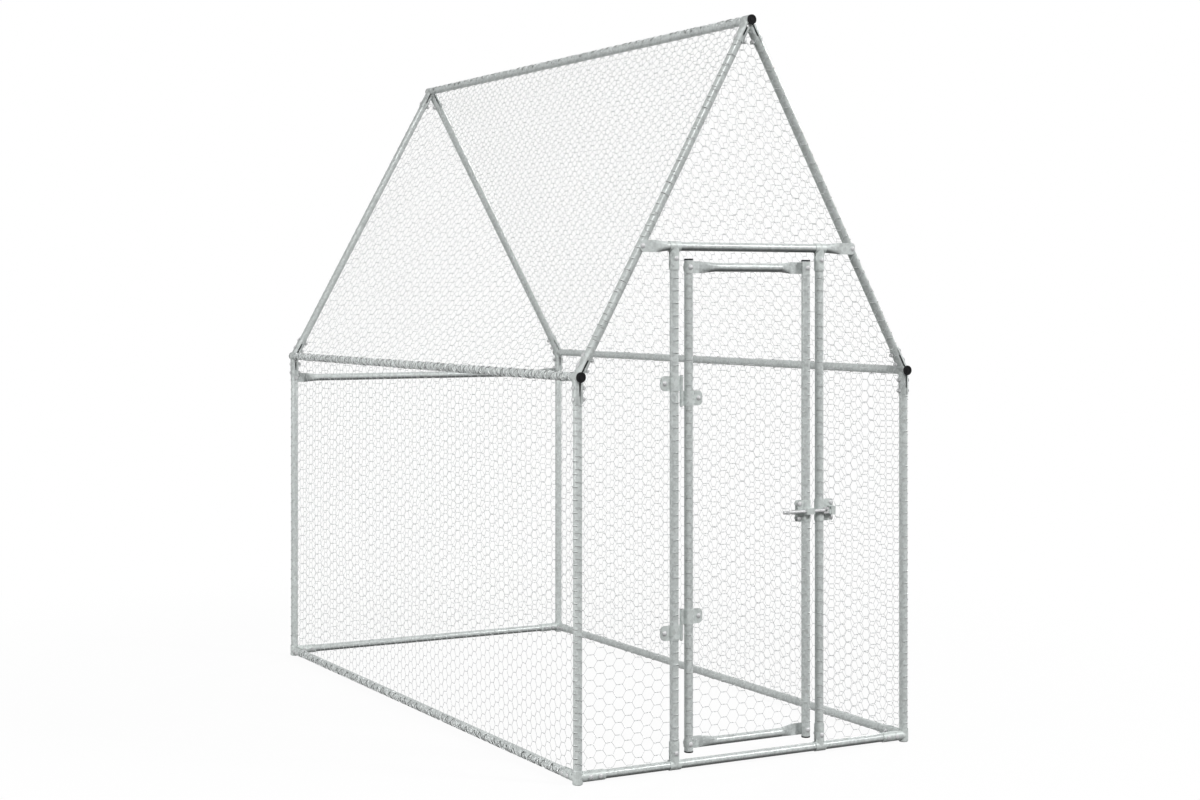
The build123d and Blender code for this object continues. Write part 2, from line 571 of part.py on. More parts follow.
for side, side_name in sides:
    out = X * side
    wall = Plane(origin=out * (POST_X + net_offset), x_dir=Y * side, z_dir=out)
    notches = []
    for end in (-1, 1):
        notches.append(notch(end * POST_Y, EAVE_HEIGHT - LEG_LENGTH / 2, fitting, LEG_LENGTH + fitting))
        notches.append(notch(end * (POST_Y - BASE_LEG_LENGTH / 2), RAIL_HEIGHT, BASE_LEG_LENGTH, fitting))
    outline = [(-POST_Y, RAIL_HEIGHT), (POST_Y, RAIL_HEIGHT), (POST_Y, EAVE_HEIGHT), (-POST_Y, EAVE_HEIGHT)]
    parts[f"{side_name}_wall_net"] = netting(wall, outline, notches)

    normal = (Y * side).cross(slope(side))
    roof = Plane(origin=eave_point(side, 0) + normal * net_offset, x_dir=Y * side, z_dir=normal)
    notches = [
        notch(end * POST_Y, v, fitting, LEG_LENGTH)
        for end in (-1, 1)
        for v in (LEG_LENGTH / 2, slope_length - LEG_LENGTH / 2)
    ]
    outline = [(-POST_Y, 0), (POST_Y, 0), (POST_Y, slope_length), (-POST_Y, slope_length)]
    parts[f"{side_name}_roof_net"] = netting(roof, outline, notches)

    front = Plane(origin=(0, FRONT - net_offset, 0), x_dir=X, z_dir=-Y)
    low = RAIL_HEIGHT + NET_FROM_BARE_RAIL
    high = HEADER_HEIGHT - NET_FROM_BARE_RAIL
    outline = [
        (side * POST_X, low),
        (side * JAMB_X, low),
        (side * JAMB_X, high),
        (side * rafter_x(high), high),
        (side * POST_X, EAVE_HEIGHT),
    ]
    notches = eave_notches(side) + [
        notch(side * JAMB_X, RAIL_HEIGHT + JAMB_LEG_LENGTH / 2, fitting, JAMB_LEG_LENGTH),
        notch(side * JAMB_X, HEADER_HEIGHT - JAMB_LEG_LENGTH / 2, fitting, JAMB_LEG_LENGTH),
    ]
    if side < 0:
        notches += [leaf_notch(-JAMB_X, fixed) for fixed, moving in leaf_bottoms.values()]
    else:
        keep_width = KEEP_REACH + BAND_OUT
        notches.append(notch(JAMB_X + (KEEP_REACH - BAND_OUT) / 2, LATCH_HEIGHT, keep_width, CLAMP_HEIGHT))
    parts[f"front_{side_name}_net"] = netting(front, outline, notches)

gable_foot = HEADER_HEIGHT + NET_FROM_BARE_RAIL
outline = [(-rafter_x(gable_foot), gable_foot), (rafter_x(gable_foot), gable_foot), (0, RIDGE_HEIGHT)]
parts["front_gable_net"] = netting(front, outline, ridge_notches())

back = Plane(origin=(0, REAR + net_offset, 0), x_dir=-X, z_dir=Y)
low = RAIL_HEIGHT + NET_FROM_BARE_RAIL
outline = [(-POST_X, low), (POST_X, low), (POST_X, EAVE_HEIGHT), (0, RIDGE_HEIGHT), (-POST_X, EAVE_HEIGHT)]
notches = ridge_notches()
rail_tail = FLAT_INWARD + FLAT_TAPER
for side in (-1, 1):
    notches += eave_notches(side)
    notches.append(notch(side * (POST_X - rail_tail / 2), REAR_RAIL_HEIGHT, rail_tail, FLAT_HEIGHT))
parts["rear_net"] = netting(back, outline, notches)

door_low = DOOR_BOTTOM_RAIL + TUBE_R
door_high = DOOR_TOP_RAIL - TUBE_R
outline = [(-STILE_X, door_low), (STILE_X, door_low), (STILE_X, door_high), (-STILE_X, door_high)]
clamp_width = STILE_CLAMP_REACH + BAND_OUT
notches = [leaf_notch(-STILE_X, moving) for fixed, moving in leaf_bottoms.values()]
notches.append(notch(STILE_X - (STILE_CLAMP_REACH - BAND_OUT) / 2, LATCH_HEIGHT, clamp_width, CLAMP_HEIGHT))
parts["door_net"] = netting(front, outline, notches)

os.makedirs("parts", exist_ok=True)
for name, shape in parts.items():
    export_step(shape, f"parts/{name}.step")
    holes = sum(len(face.inner_wires()) for face in shape.faces()) // 2 if name.endswith("_net") else 0
    print(name, len(shape.solids()), "solids", f"{shape.volume:.0f} mm3", holes or "")
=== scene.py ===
"""Dresses the poultry run: woven netting, lacing, zinc and plastic finishes, stage and camera."""

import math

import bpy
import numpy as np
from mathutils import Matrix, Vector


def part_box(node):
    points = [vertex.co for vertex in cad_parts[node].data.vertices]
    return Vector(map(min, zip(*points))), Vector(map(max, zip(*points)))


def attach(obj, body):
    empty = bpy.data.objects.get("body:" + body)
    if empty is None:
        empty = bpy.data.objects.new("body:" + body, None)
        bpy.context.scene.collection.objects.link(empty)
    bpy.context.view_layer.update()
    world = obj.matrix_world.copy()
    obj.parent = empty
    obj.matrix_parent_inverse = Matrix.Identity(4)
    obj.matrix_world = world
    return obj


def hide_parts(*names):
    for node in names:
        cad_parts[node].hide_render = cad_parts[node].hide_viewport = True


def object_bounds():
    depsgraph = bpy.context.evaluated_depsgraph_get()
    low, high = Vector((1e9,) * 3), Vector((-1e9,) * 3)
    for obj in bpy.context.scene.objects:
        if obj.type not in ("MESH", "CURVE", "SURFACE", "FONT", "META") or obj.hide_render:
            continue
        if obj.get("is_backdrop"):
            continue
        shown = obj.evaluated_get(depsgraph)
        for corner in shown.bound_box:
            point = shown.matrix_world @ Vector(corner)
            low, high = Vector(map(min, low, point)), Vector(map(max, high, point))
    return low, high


bl_info = {
    "name": "Poultry run",
    "version": (1, 0, 0),
    "blender": (4, 5, 0),
    "location": "View3D > Sidebar > Poultry run",
    "description": "Weaves the netting of the poultry run, finishes its metal and sets its stage",
    "category": "Object",
}

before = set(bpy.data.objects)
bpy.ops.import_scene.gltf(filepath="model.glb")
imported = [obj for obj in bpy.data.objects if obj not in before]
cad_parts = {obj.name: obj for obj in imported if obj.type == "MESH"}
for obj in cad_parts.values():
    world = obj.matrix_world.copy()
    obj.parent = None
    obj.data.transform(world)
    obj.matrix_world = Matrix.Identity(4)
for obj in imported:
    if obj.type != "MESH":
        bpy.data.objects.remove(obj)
cad_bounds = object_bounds()


def corner_low(node):
    """Lowest corner of a CAD node, as an array."""
    return np.array(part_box(node)[0])


def corner_high(node):
    """Highest corner of a CAD node, as an array."""
    return np.array(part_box(node)[1])


def middle(node):
    """Middle of a CAD node's box, as an array."""
    return (corner_low(node) + corner_high(node)) / 2


# Axes of the tubes, read from the frame
POST_X = middle("front_right_post")[0]
POST_Y = middle("rear_left_post")[1]
RAIL_Z = middle("front_sill")[2]
EAVE_Z = middle("left_eave_rail")[2]
RIDGE_Z = middle("ridge_pole")[2]
HEADER_Z = middle("door_header")[2]
JAMB_X = middle("right_door_jamb")[0]
STILE_X = middle("right_door_stile")[0]
SLOPE = np.array([POST_X, 0.0, RIDGE_Z - EAVE_Z])
SLOPE_LENGTH = float(np.linalg.norm(SLOPE))
SLOPE_ANGLE = math.atan2(SLOPE[2], SLOPE[0])

# Netting and fittings round those axes, read from the frame
NET_OUT = -middle("left_wall_net")[0] - POST_X  # tube axis to the middle of the netting
EAVE_LEG = EAVE_Z - corner_low("front_left_eave_bracket")[2]
BASE_LEG = corner_high("front_left_base_bracket")[0] + POST_X
JAMB_LEG = corner_high("lower_jamb_clamps")[2] - RAIL_Z
SLEEVE_R = -corner_low("lower_jamb_clamps")[1] - POST_Y
STRAP_WIDTH = 2 * math.sqrt(SLEEVE_R**2 - NET_OUT**2)  # of a strap, level with the netting
BASE_BAND = 2 * STRAP_WIDTH  # height of a base bracket's band beside the netting
REAR_FLAT_IN = 0.055  # post axis to the middle of the rear cross rail's pressed end
REAR_FLAT_LENGTH = 0.05

# CAD nodes by finish
TUBE_ENDINGS = (
    "_post", "_rafter", "_rail", "_sill", "_jamb", "_stile", "ridge_pole", "door_header"
)
CROSS_ENDINGS = ("_sill", "_header", "cross_rail", "top_rail", "door_bottom_rail")
FITTING_WORDS = ("bracket", "clamp", "leaf", "keep")
TUBES = [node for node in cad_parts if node.endswith(TUBE_ENDINGS)]
RAFTERS = [node for node in TUBES if node.endswith("_rafter")]
CROSS_TUBES = [node for node in TUBES if node.endswith(CROSS_ENDINGS)]
FITTINGS = [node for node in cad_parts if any(word in node for word in FITTING_WORDS)]
# The roof straps take the rafter zinc, a darker copy that stands for painted shade
ROOF_STRAPS = [node for node in FITTINGS if "eave" in node or "ridge" in node]
HARDWARE = ["frame_bolts", "door_bolts", "hinge_pins", "slide_bolt"]
CAPS = ["rail_end_caps", "stile_end_caps"]

# Zinc: metallic share, roughness and crystals per metre
TUBE_ZINC = {"metal": 0.05, "matt": 0.16, "crystal": 180.0}
STRAP_ZINC = {"metal": 0.08, "matt": 0.35, "crystal": 120.0}
BOLT_ZINC = {"metal": 0.25, "matt": 0.4, "crystal": 300.0}
WIRE_ZINC = {"metal": 0.3, "matt": 0.3, "crystal": 400.0}
ZINC_SPECULAR = 0.08
PLASTIC_SPECULAR = 0.05
# The second and third wire finishes are painted highlight and painted shade: a light and a dark
# copy of the wire zinc for the two strands of a wrap or of the lacing
WIRE, HIGHLIGHT_STRAND, SHADOW_STRAND = range(3)  # numbers of the wire finishes

# Weave
WIRE_SIDES = 4  # a wire is square in section
UPRIGHT_TILT = 0.01  # keeps the wires' upright direction off the wires
STRAY_MARGIN = 0.06  # from a panel's edge to where its weave strays in full
STRAY_ACROSS = ((9, 23), (-17, 41))  # wide and small ripple, in radians per metre across and up
STRAY_UP = ((13, -7), (37, 29))
STRAY_OUT = ((5, 3), (-2, 7))  # two ripples that multiply to bulges
SMALL_RIPPLE = 0.5  # height of the small ripple, as a share of the wide one
BULGE = 1.5  # height of the bulges, as a share of the wide ripple
HALVINGS = 18  # to find where a wire meets an edge
LEAST_STEP = 2e-5  # between two points of a wire
LEAST_POINTS = 3  # of a wire that is kept
EDGE_SLACK = 1e-7  # this far outside the outline still counts as inside
EDGE_NEAR = 1e-4  # a wire that ends this near an edge is wrapped round its tube
LEVEL_RISE = 0.2  # an edge that rises less for its length is a level rail, without wraps
HOOK_POINTS = 4  # of a wire end round a tube
HOOK_LEAD = 0.125  # share of a wrap on the panel's side of the tube's crest

# Lacing of the long rails
LACE_END = 0.02  # from a corner post's axis to the end of the lacing
LACE_STEPS = 8  # points between two turns of the lacing
LACE_SEED = 3  # of the chance in the lacing's turns
# Each lacing strand is in the painted highlight or the painted shade copy of the wire zinc
LACE_STRANDS = ((0, HIGHLIGHT_STRAND), (1, SHADOW_STRAND), (1, HIGHLIGHT_STRAND))  # first side and finish of each strand
# The side of each rail that the lacing crosses, turned from straight up
LACED = {
    "left_eave_rail": math.radians(-90),
    "right_eave_rail": math.radians(90),
    "ridge_pole": 0.0,
    "left_bottom_rail": math.radians(-110),
    "right_bottom_rail": math.radians(110),
}

# Stage
FLOOR_SIDES = 96
FADE_START = 1.2  # from the middle of the run, where the floor starts to turn white
FADE_END = 3.0
FADE_LEAST = 0.94  # white in the floor next to the run
WHITE = (1.0, 1.0, 1.0, 1.0)
SENSOR_WIDTH = 36.0  # millimetres
CLIP_END = 500.0
# Each lamp's place, target and size; its power is the setting of that name
LAMPS = {
    "key": ((-5.4, -10.3, 9.3), (0.0, 0.0, 0.9), 2.0),
    "fill": ((7.6, -9.6, 9.0), (0.0, -0.5, 0.9), 2.4),
    "side": ((-6.2, -0.9, 1.5), (0.0, 0.0, 1.0), 2.5),
    "right": ((6.2, -0.6, 1.5), (0.0, 0.0, 1.0), 2.5),
    "rear": ((9.0, 7.5, 5.0), (0.0, 0.0, 0.9), 2.4),
}


class RunNetting(bpy.types.PropertyGroup):
    """Sizes of the woven netting and its lacing."""

    gap: bpy.props.FloatProperty(
        name="Gap",
        description="Between the two level sides of a gap",
        default=0.031,
        unit="LENGTH",
    )
    wire: bpy.props.FloatProperty(
        name="Wire",
        description="Diameter of the netting wire",
        default=0.00105,
        unit="LENGTH",
    )
    wave: bpy.props.FloatProperty(
        name="Wave",
        description="How far the netting strays from an even weave",
        default=0.0016,
        unit="LENGTH",
    )
    wrap: bpy.props.FloatProperty(
        name="Wrap",
        description="Turn of each wire's end round its tube",
        default=math.radians(60),
        subtype="ANGLE",
    )
    wrap_wire: bpy.props.FloatProperty(
        name="Wrap wire",
        description="Width of the twisted wires that wrap a tube",
        default=0.0025,
        unit="LENGTH",
    )
    lace_pitch: bpy.props.FloatProperty(
        name="Lace pitch",
        description="Length of one zigzag of the lacing wire",
        default=0.042,
        unit="LENGTH",
    )
    lace_swing: bpy.props.FloatProperty(
        name="Lace swing",
        description="Turn round the rail to each side",
        default=math.radians(100),
        subtype="ANGLE",
    )
    lace_stray: bpy.props.FloatProperty(
        name="Lace stray",
        description="Share by which the lacing's turns differ",
        default=0.5,
        subtype="FACTOR",
    )
    lace_wire: bpy.props.FloatProperty(
        name="Lace wire",
        description="Diameter of the lacing wire",
        default=0.0014,
        unit="LENGTH",
    )


class RunFinish(bpy.types.PropertyGroup):
    """Colours of the finishes."""

    tube: bpy.props.FloatVectorProperty(
        name="Tube zinc",
        description="Zinc on the tubes",
        default=(0.60, 0.635, 0.625),
        subtype="COLOR",
    )
    # Painted shade: a darker copy of the tube zinc for the rafters and their straps
    rafter: bpy.props.FloatVectorProperty(
        name="Rafter zinc",
        description="Zinc on the rafters and their straps",
        default=(0.50, 0.53, 0.52),
        subtype="COLOR",
    )
    fitting: bpy.props.FloatVectorProperty(
        name="Fitting zinc",
        description="Zinc on the pressed fittings",
        default=(0.61, 0.65, 0.635),
        subtype="COLOR",
    )
    wire: bpy.props.FloatVectorProperty(
        name="Wire zinc",
        description="Zinc on the netting wire",
        default=(0.55, 0.57, 0.57),
        subtype="COLOR",
    )
    # Painted highlight: a light copy of the wire zinc on one strand of each wrap and of the lacing
    bright: bpy.props.FloatVectorProperty(
        name="Highlit zinc",
        description="Zinc on the bright strand of a wrap",
        default=(0.90, 0.92, 0.92),
        subtype="COLOR",
    )
    # Painted shade: a dark copy of the wire zinc on the other strand
    shadowed: bpy.props.FloatVectorProperty(
        name="Shadowed zinc",
        description="Zinc on the dull strand of a wrap",
        default=(0.12, 0.127, 0.122),
        subtype="COLOR",
    )
    bolt: bpy.props.FloatVectorProperty(
        name="Bolt plating",
        description="Plating on bolts, nuts and pins",
        default=(0.56, 0.565, 0.57),
        subtype="COLOR",
    )
    # Painted shade: how much the base colour of a cross tube darkens on faces that look down
    painted_underside_shade: bpy.props.FloatProperty(
        name="Underside",
        description="How much duller a cross tube is underneath",
        default=0.6,
        subtype="FACTOR",
    )
    cap: bpy.props.FloatVectorProperty(
        name="Cap plastic",
        description="Plastic of the end caps",
        default=(0.018, 0.018, 0.019),
        subtype="COLOR",
    )


class RunStage(bpy.types.PropertyGroup):
    """Floor, light and camera."""

    floor: bpy.props.FloatProperty(
        name="Floor",
        description="Shade of the floor",
        default=0.93,
        subtype="FACTOR",
    )
    floor_radius: bpy.props.FloatProperty(
        name="Floor radius",
        description="Where the floor ends",
        default=60.0,
        unit="LENGTH",
    )
    bounce: bpy.props.FloatProperty(
        name="Bounce",
        description="Shade of the floor as it lights the run",
        default=0.08,
        subtype="FACTOR",
    )
    ambient: bpy.props.FloatProperty(
        name="Ambient",
        description="Light from all round",
        default=0.09,
    )
    key: bpy.props.FloatProperty(
        name="Key",
        description="Power of the lamp high on the left",
        default=850.0,
        unit="POWER",
    )
    fill: bpy.props.FloatProperty(
        name="Fill",
        description="Power of the lamp high on the right",
        default=1150.0,
        unit="POWER",
    )
    side: bpy.props.FloatProperty(
        name="Side",
        description="Power of the lamp low on the left",
        default=200.0,
        unit="POWER",
    )
    right: bpy.props.FloatProperty(
        name="Right",
        description="Power of the lamp low on the right",
        default=80.0,
        unit="POWER",
    )
    rear: bpy.props.FloatProperty(
        name="Rear",
        description="Power of the lamp behind the run",
        default=600.0,
        unit="POWER",
    )
    camera: bpy.props.FloatVectorProperty(
        name="Camera",
        description="Where the camera stands",
        default=(-2.7388, -5.2086, 1.1742),
        subtype="XYZ",
    )
    heading: bpy.props.FloatProperty(
        name="Heading",
        description="Turn of the camera to the right",
        default=math.radians(28.713),
        subtype="ANGLE",
    )
    lens: bpy.props.FloatProperty(
        name="Lens",
        description="Focal length in millimetres",
        default=59.477,
    )
    shift: bpy.props.FloatProperty(
        name="Shift",
        description="Downward shift of the picture",
        default=-0.08506,
    )


class Amount:
    """A shader socket that can be used in sums."""

    def __init__(self, finish, socket):
        self.finish = finish
        self.socket = socket

    def _sum(self, operation, first, second):
        sockets = {0: first, 1: second}
        made = self.finish.node("ShaderNodeMath", {"operation": operation}, sockets)
        return Amount(self.finish, made.outputs[0])

    def __add__(self, other):
        return self._sum("ADD", self, other)

    __radd__ = __add__

    def __sub__(self, other):
        return self._sum("SUBTRACT", self, other)

    def __rsub__(self, other):
        return self._sum("SUBTRACT", other, self)

    def __mul__(self, other):
        return self._sum("MULTIPLY", self, other)

    __rmul__ = __mul__


class Finish:
    """A node material, or the world's nodes, made node by node."""

    def __init__(self, owner):
        self.owner = owner
        owner.use_nodes = True
        self.tree = owner.node_tree
        self.tree.nodes.clear()

    def node(self, kind, settings=None, sockets=None):
        """Adds a node, sets it, then gives its sockets their values or links."""
        made = self.tree.nodes.new(kind)
        for name, value in (settings or {}).items():
            if name == "stops":
                for index, (place, shade) in enumerate(value):
                    points = made.color_ramp.elements
                    point = points[index] if index < len(points) else points.new(place)
                    point.position = place
                    point.color = (shade, shade, shade, 1.0)
            else:
                setattr(made, name, value)
        for name, value in (sockets or {}).items():
            socket = made.inputs[name]
            if isinstance(value, Amount):
                value = value.socket
            if isinstance(value, bpy.types.NodeSocket):
                self.tree.links.new(value, socket)
            else:
                socket.default_value = value
        return made

    def amount(self, socket):
        """Wraps a socket for sums."""
        return Amount(self, socket)

    def place(self, stretch=(1.0, 1.0, 1.0)):
        """Position on the piece in metres, stretched."""
        where = self.node("ShaderNodeTexCoord").outputs["Object"]
        settings = {"operation": "MULTIPLY"}
        return self.node("ShaderNodeVectorMath", settings, {0: where, 1: stretch}).outputs[0]

    def noise(self, scale, detail=3.0, roughness=0.55, stretch=(1.0, 1.0, 1.0)):
        """Cloudy amount between 0 and 1."""
        sockets = {
            "Vector": self.place(stretch),
            "Scale": scale,
            "Detail": detail,
            "Roughness": roughness,
        }
        return self.amount(self.node("ShaderNodeTexNoise", None, sockets).outputs["Fac"])

    def spangle(self, scale):
        """One random amount for each zinc crystal."""
        sockets = {"Vector": self.place(), "Scale": scale, "Randomness": 1.0}
        cells = self.node("ShaderNodeTexVoronoi", {"feature": "F1"}, sockets).outputs["Color"]
        return self.amount(self.node("ShaderNodeSeparateColor", None, {0: cells}).outputs[0])

    def ramp(self, amount, stops):
        """Reshapes an amount along the stops of a ramp."""
        made = self.node("ShaderNodeValToRGB", {"stops": stops}, {"Fac": amount})
        return self.amount(made.outputs["Color"])

    def underneath(self):
        """0 on level and upper faces, 1 on those that look down: the mask of the painted shade."""
        normal = self.node("ShaderNodeNewGeometry").outputs["Normal"]
        height = self.node("ShaderNodeSeparateXYZ", None, {0: normal}).outputs["Z"]
        return self.ramp(-1.0 * self.amount(height), [(0.05, 0.0), (0.45, 1.0)])

    def seen(self):
        """1 to the camera, in reflections and through clear things, 0 as light."""
        path = self.node("ShaderNodeLightPath").outputs
        seen = self.amount(path["Is Camera Ray"]) + self.amount(path["Is Glossy Ray"])
        return seen + self.amount(path["Is Transmission Ray"])

    def tint(self, colour, amount):
        """A colour made lighter or darker by an amount."""
        settings = {"operation": "SCALE"}
        sockets = {0: tuple(colour), "Scale": amount}
        return self.node("ShaderNodeVectorMath", settings, sockets).outputs[0]

    def bump(self, height, distance, strength):
        """Small relief from an amount."""
        sockets = {"Height": height, "Distance": distance, "Strength": strength}
        return self.node("ShaderNodeBump", None, sockets).outputs["Normal"]

    def surface(self, shader):
        """Makes a shader the result."""
        self.node("ShaderNodeOutputMaterial", None, {"Surface": shader})
        return self.owner


def galvanised(name, colour, metal, matt, crystal, painted_underside_shade=0.0):
    """Hot-dipped zinc: crystals, matt clouds, run marks, pits and grain, and where asked painted
    shade on faces that look down.
    """
    finish = Finish(bpy.data.materials.new(name))
    crystals = finish.spangle(crystal)
    clouds = finish.noise(9.0, detail=4.0)
    streaks = finish.noise(26.0, roughness=0.6, stretch=(1.0, 1.0, 0.18))
    grain = finish.noise(900.0, detail=2.0)
    specks = finish.noise(140.0, detail=2.0)
    pits = finish.ramp(specks, [(0.0, 1.0), (0.31, 0.75), (0.37, 0.0), (1.0, 0.0)])
    shade = 0.74 + 0.27 * crystals + 0.12 * clouds + 0.14 * streaks - 0.10 * pits
    # Painted shade: the base colour darkens on faces that look down
    if painted_underside_shade:
        shade = shade * (1.0 - painted_underside_shade * finish.underneath())
    rough = matt - 0.05 * crystals + 0.14 * clouds + 0.10 * pits
    relief = 0.15 * crystals + 0.4 * grain + 0.6 * clouds
    sockets = {
        "Base Color": finish.tint(colour, shade),
        "Roughness": rough,
        "Metallic": metal,
        "Specular IOR Level": ZINC_SPECULAR,
        "Normal": finish.bump(relief, distance=0.0004, strength=0.35),
    }
    return finish.surface(finish.node("ShaderNodeBsdfPrincipled", None, sockets).outputs[0])


def moulded(name, colour):
    """Moulded plastic with a fine grain and scuffs."""
    finish = Finish(bpy.data.materials.new(name))
    grain = finish.noise(1400.0, detail=2.0)
    scuffs = finish.noise(60.0, detail=4.0, roughness=0.7)
    sockets = {
        "Base Color": finish.tint(colour, 0.7 + 0.7 * scuffs),
        "Roughness": 0.42 + 0.2 * scuffs,
        "Specular IOR Level": PLASTIC_SPECULAR,
        "Normal": finish.bump(grain, distance=0.0002, strength=0.3),
    }
    return finish.surface(finish.node("ShaderNodeBsdfPrincipled", None, sockets).outputs[0])


def wire_zincs(finish):
    """Finishes of the netting wire and of a wrap's two strands, in the order of their numbers; the
    strands' finishes are a painted highlight and a painted shade.
    """
    colours = {
        "zinc on wire": finish.wire,
        "bright zinc on wire": finish.bright,
        "dull zinc on wire": finish.shadowed,
    }
    return [galvanised(name, colour, **WIRE_ZINC) for name, colour in colours.items()]


def dress(nodes, material):
    """Gives CAD nodes a material."""
    for node in nodes:
        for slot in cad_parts[node].material_slots:
            slot.material = material


def wires(name, runs, upright, zincs):
    """One mesh of square wires along runs of points, each with its radius and number of zinc.

    The upright direction is never along a wire.
    """
    points = []
    faces = []
    shades = []
    start = 0
    cap = np.arange(WIRE_SIDES)
    for run, radius, shade in runs:
        steps = np.diff(run, axis=0)
        steps /= np.linalg.norm(steps, axis=1)[:, None]
        along = np.vstack([steps[:1], steps[1:] + steps[:-1], steps[-1:]])
        along /= np.linalg.norm(along, axis=1)[:, None]
        up = upright - along * (along @ upright)[:, None]
        up /= np.linalg.norm(up, axis=1)[:, None]
        side = np.cross(along, up)
        ring = [run + radius * up, run + radius * side, run - radius * up, run - radius * side]
        points.append(np.stack(ring, axis=1).reshape(-1, 3))
        last = start + WIRE_SIDES * (len(run) - 1)
        rings = np.arange(start, last, WIRE_SIDES)[:, None]
        for corner in range(WIRE_SIDES):
            after = (corner + 1) % WIRE_SIDES
            faces.append(rings + np.array([corner, after, after + WIRE_SIDES, corner + WIRE_SIDES]))
        faces.append(np.array([start + cap[::-1], last + cap]))
        shades.append(np.full(WIRE_SIDES * (len(run) - 1) + 2, shade, dtype=np.int32))
        start = last + WIRE_SIDES
    points = np.concatenate(points)
    faces = np.concatenate(faces)
    mesh = bpy.data.meshes.new(name)
    mesh.vertices.add(len(points))
    mesh.vertices.foreach_set("co", points.astype(np.float32).ravel())
    mesh.loops.add(faces.size)
    mesh.loops.foreach_set("vertex_index", faces.astype(np.int32).ravel())
    mesh.polygons.add(len(faces))
    starts = np.arange(0, faces.size, WIRE_SIDES, dtype=np.int32)
    mesh.polygons.foreach_set("loop_start", starts)
    mesh.polygons.foreach_set("use_smooth", np.ones(len(faces), dtype=bool))
    mesh.polygons.foreach_set("material_index", np.concatenate(shades))
    mesh.update(calc_edges=True)
    piece = bpy.data.objects.new(name, mesh)
    bpy.context.scene.collection.objects.link(piece)
    for zinc in zincs:
        mesh.materials.append(zinc)
    return piece


class NetPanel:
    """A flat netting panel: its plane, its outline and the rooms of the fittings it ends at.

    A room is a fitting's place on the panel: middle across, middle up, width, height and turn.
    """

    def __init__(self, node, body, origin, across, up, out, outline, rooms):
        self.node = node
        self.body = body
        self.origin = np.array(origin, dtype=float)
        self.across = np.array(across, dtype=float)
        self.up = np.array(up, dtype=float)
        self.out = np.array(out, dtype=float)
        self.outline = np.array(outline, dtype=float)
        self.rooms = rooms
        self.upright = self.up + UPRIGHT_TILT * self.across

    def depths(self, flat):
        """Distance of flat points inside each edge of the outline, which runs anticlockwise."""
        edges = np.roll(self.outline, -1, axis=0) - self.outline
        inward = np.stack([-edges[:, 1], edges[:, 0]], axis=1)
        inward /= np.linalg.norm(inward, axis=1)[:, None]
        return np.einsum("pek,ek->pe", flat[:, None, :] - self.outline[None], inward)

    def open_at(self, flat):
        """True where netting shows: inside the outline and clear of every fitting."""
        clear = (self.depths(flat) > -EDGE_SLACK).all(axis=1)
        for x, y, width, height, angle in self.rooms:
            cosine, sine = math.cos(angle), math.sin(angle)
            local = (flat - np.array([x, y])) @ np.array([[cosine, -sine], [sine, cosine]])
            clear &= (np.abs(local[:, 0]) > width / 2) | (np.abs(local[:, 1]) > height / 2)
        return clear

    def solid(self, flat):
        """Panel points, with their height off the panel, in the frame."""
        place = self.origin + flat[:, :1] * self.across + flat[:, 1:2] * self.up
        return place + flat[:, 2:3] * self.out

    def hook(self, flat, wrap, shift):
        """Points that carry a wire's end round the tube under the nearest edge.

        They are shifted along the tube. A wire that ends elsewhere has no hook.
        """
        depth = self.depths(flat[None, :2])[0]
        edge = int(np.argmin(np.abs(depth)))
        if abs(depth[edge]) > EDGE_NEAR:
            return None
        run = self.outline[(edge + 1) % len(self.outline)] - self.outline[edge]
        run = run / np.linalg.norm(run)
        if abs(run[1]) < LEVEL_RISE:
            return None
        away = run[1] * self.across - run[0] * self.up
        along = run[0] * self.across + run[1] * self.up
        axis = self.solid(flat[None])[0] - (NET_OUT + flat[2]) * self.out + shift * along
        turns = np.linspace(-HOOK_LEAD * wrap, wrap, HOOK_POINTS)[:, None]
        return axis + NET_OUT * (np.cos(turns) * self.out + np.sin(turns) * away)


def weave(panel, netting):
    """Paths of a panel's wires: each one zigzags along the panel and twists with its neighbours."""
    low, high = panel.outline.min(axis=0), panel.outline.max(axis=0)
    level_top = np.sum(np.isclose(panel.outline[:, 1], high[1])) > 1
    lines = round((high[1] - low[1]) / (netting.gap / 2))
    rise = (high[1] - low[1]) / lines if level_top else netting.gap / 2
    side = netting.gap / math.sqrt(3)
    pitch = 1.5 * side
    columns = int((high[0] - low[0]) / (2 * pitch)) + 2
    centre = (low[0] + high[0]) / 2
    quarters = np.array([[1, 0], [0, 1], [-1, 0], [0, -1], [1, 0]]) * (netting.wire / 2)
    spread = np.linspace(-side / 2, side / 2, len(quarters))
    paths = []
    for line in range(-1, lines + 1):
        path = []
        for column in range(-columns, columns + 1):
            on_upper = (column + line) % 2
            level = line + on_upper
            if not 0 <= level <= lines:
                continue
            twist = -quarters if on_upper else quarters
            flat = np.empty((len(quarters), 3))
            flat[:, 0] = centre + pitch * column + spread
            flat[:, 1] = low[1] + rise * level + twist[:, 0]
            flat[:, 2] = twist[:, 1]
            path.append(flat)
        paths.append(np.concatenate(path))
    return paths


def ripple(waves, x, y, phase=0.0):
    """A wave over a panel, from its radians per metre across and up."""
    return np.sin(waves[0] * x + waves[1] * y + phase)


